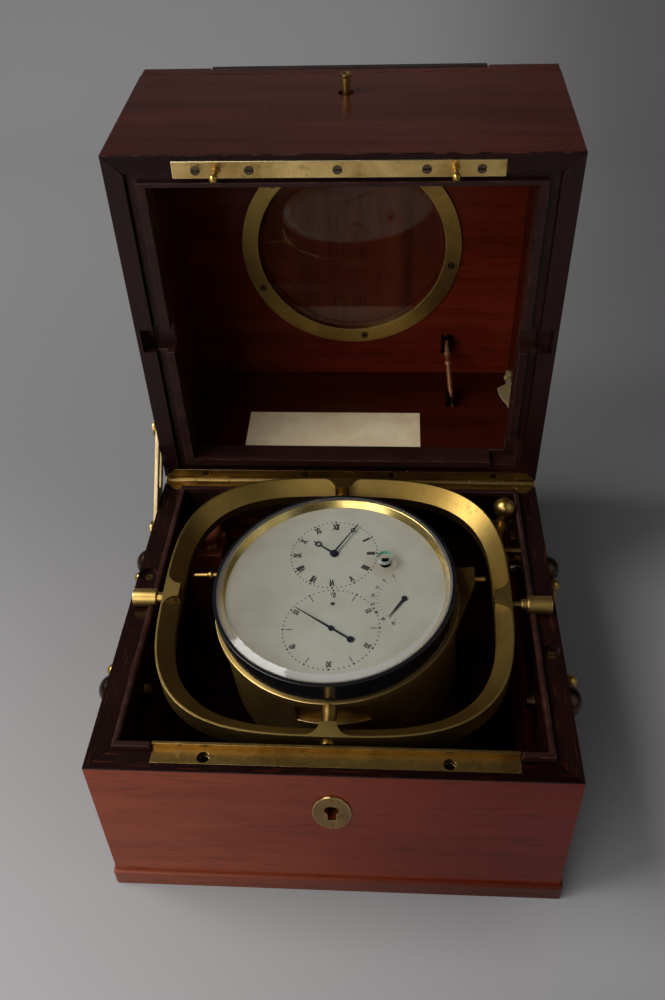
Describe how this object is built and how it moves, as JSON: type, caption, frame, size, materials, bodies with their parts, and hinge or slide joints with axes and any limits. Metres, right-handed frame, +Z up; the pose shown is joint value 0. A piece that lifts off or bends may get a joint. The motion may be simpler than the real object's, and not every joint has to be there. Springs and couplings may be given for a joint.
{
  "type": "chronometer box",
  "caption": "Mahogany chronometer box with hinged windowed lid, gimballed brass bowl with silvered dial, stay, lock and drop handles.",
  "frame": {"origin": "centre of the underside of the bottom board", "axes": "+Z up, +Y towards the hinge side, +X to the right as the dial is read"},
  "size_m": [0.208, 0.2696, 0.2705],
  "materials": {
    "mahogany": "satin french polish, worn",
    "dark_mahogany": "satin",
    "aged_brass": "aged, lightly stained",
    "screw_brass": "aged, slotted heads",
    "lacquered_brass": "brushed and lacquered",
    "polished_bezel": "polished",
    "blackened_band": "gloss black",
    "silvered_dial": "matte silvering",
    "blued_steel": "blued",
    "clear_glass": "clear",
    "cream_paper": "aged",
    "copper_key": "satin"
  },
  "bodies": {
    "base": {"base_board": "mahogany", "base_front_wall": "mahogany", "base_rear_wall": "mahogany", "base_left_wall": "mahogany", "base_right_wall": "mahogany", "dust_lip": "dark_mahogany", "lock_plate": "aged_brass", "lock_case": "aged_brass", "escutcheon": "aged_brass", "gimbal_bearings": "aged_brass", "base_screws": "screw_brass", "handle_posts": "aged_brass", "base_hinge_leaf": "aged_brass", "hinge_pin": "aged_brass", "gimbal_lock_bracket": "aged_brass", "corner_post": "dark_mahogany", "stay_base_screw": "screw_brass"},
    "lock_bolt": {"lock_bolt": "aged_brass"},
    "left_bail": {"left_bail": "aged_brass"},
    "right_bail": {"right_bail": "aged_brass"},
    "gimbal_lock": {"gimbal_lock_lever": "aged_brass"},
    "stay": {"lid_stay": "aged_brass"},
    "lid": {"lid_front_wall": "mahogany", "lid_rear_wall": "mahogany", "lid_left_wall": "mahogany", "lid_right_wall": "mahogany", "lid_top_board": "mahogany", "lid_lining": "dark_mahogany", "window_ring": "aged_brass", "window_glass": "clear_glass", "catch_plate": "aged_brass", "catch_pins": "aged_brass", "lid_screws": "screw_brass", "paper_label": "cream_paper", "lid_hinge_leaf": "aged_brass", "key_clips": "aged_brass", "side_clip": "aged_brass", "stay_lid_screw": "screw_brass", "flap_hinge_fixed": "aged_brass"},
    "flap": {"flap_panel": "mahogany", "flap_edge": "aged_brass", "flap_hinge_moving": "aged_brass"},
    "button": {"flap_button": "aged_brass"},
    "key": {"winding_key": "copper_key"},
    "ring": {"gimbal_ring": "lacquered_brass", "ring_pivots": "screw_brass"},
    "bowl": {"bowl_shell": "lacquered_brass", "bowl_band": "blackened_band", "bezel": "polished_bezel", "dial_glass": "clear_glass", "dial": "silvered_dial", "bowl_side_fittings": "lacquered_brass", "movement_frame": "lacquered_brass"},
    "minute": {"minute_hand": "blued_steel"},
    "hour": {"hour_hand": "blued_steel"},
    "seconds": {"seconds_hand": "blued_steel"},
    "reserve": {"reserve_hand": "blued_steel"},
    "barrel": {"barrel": "lacquered_brass"},
    "balance": {"balance": "lacquered_brass"}
  },
  "joints": [
    {"name": "lid_hinge", "type": "hinge", "parent": "base", "child": "lid", "pos_m": [0, 0.0871, 0.0852], "axis": [1, 0, 0], "range_deg": [0, 86.5]},
    {"name": "stay_pivot", "type": "hinge", "parent": "base", "child": "stay", "pos_m": [-0.0963, 0.06139, 0.0741], "axis": [1, 0, 0], "range_deg": [0, 43.25]},
    {"name": "flap_hinge", "type": "hinge", "parent": "lid", "child": "flap", "pos_m": [0, 0.17998, 0.11783], "axis": [1, 0, 0], "range_deg": [-100, 0]},
    {"name": "button_press", "type": "slide", "parent": "lid", "child": "button", "axis": [0, 0.061, -0.9981], "range_m": [0, 0.003], "stiffness_N_per_m": 300, "springref_m": -0.002},
    {"name": "key_release", "type": "slide", "parent": "lid", "child": "key", "axis": [0, -0.665, 0.7469], "range_m": [0, 0.012]},
    {"name": "bolt_slide", "type": "slide", "parent": "base", "child": "lock_bolt", "axis": [1, 0, 0], "range_m": [0, 0.004]},
    {"name": "left_bail_swing", "type": "hinge", "parent": "base", "child": "left_bail", "pos_m": [-0.1, 0, 0.067], "axis": [0, 1, 0], "range_deg": [0, 95]},
    {"name": "right_bail_swing", "type": "hinge", "parent": "base", "child": "right_bail", "pos_m": [0.1, 0, 0.067], "axis": [0, -1, 0], "range_deg": [0, 95]},
    {"name": "gimbal_lock_swing", "type": "hinge", "parent": "base", "child": "gimbal_lock", "pos_m": [0.0775, 0.065, 0.07], "axis": [0, 0, 1], "range_deg": [0, 10]},
    {"name": "ring_tilt", "type": "hinge", "parent": "base", "child": "ring", "pos_m": [-0.0018, 0, 0.0885], "axis": [1, 0, 0], "range_deg": [-33, 23]},
    {"name": "bowl_tilt", "type": "hinge", "parent": "ring", "child": "bowl", "pos_m": [-0.0018, 0, 0.0885], "axis": [0, 0.9962, 0.0872], "range_deg": [-24, 31]},
    {"name": "minute_turn", "type": "hinge", "parent": "bowl", "child": "minute", "pos_m": [-0.00349, 0.01819, 0.10085], "axis": [-0.0638, -0.087, 0.9942], "continuous": true},
    {"name": "hour_turn", "type": "hinge", "parent": "bowl", "child": "hour", "pos_m": [-0.00344, 0.01826, 0.10005], "axis": [-0.0638, -0.087, 0.9942], "continuous": true},
    {"name": "seconds_turn", "type": "hinge", "parent": "bowl", "child": "seconds", "pos_m": [-0.00274, -0.02298, 0.09649], "axis": [-0.0638, -0.087, 0.9942], "continuous": true},
    {"name": "barrel_wind", "type": "hinge", "parent": "bowl", "child": "barrel", "pos_m": [0.02112, 0.01387, 0.07912], "axis": [-0.0638, -0.087, 0.9942], "range_deg": [-720, 1080]},
    {"name": "reserve_turn", "type": "hinge", "parent": "bowl", "child": "reserve", "pos_m": [0.028, -0.00821, 0.09975], "axis": [-0.0638, -0.087, 0.9942], "range_deg": [-90, 135]},
    {"name": "balance_swing", "type": "hinge", "parent": "bowl", "child": "balance", "pos_m": [-0.01322, -0.01039, 0.04662], "axis": [-0.0638, -0.087, 0.9942], "range_deg": [-225, 225], "stiffness_Nm_per_rad": 0.0001}
  ],
  "couplings": [
    {"joint": "stay_pivot", "follows": "lid_hinge", "ratio": 0.5},
    {"joint": "hour_turn", "follows": "minute_turn", "ratio": 0.083333},
    {"joint": "seconds_turn", "follows": "minute_turn", "ratio": 60},
    {"joint": "reserve_turn", "follows": "barrel_wind", "ratio": 0.125}
  ]
}
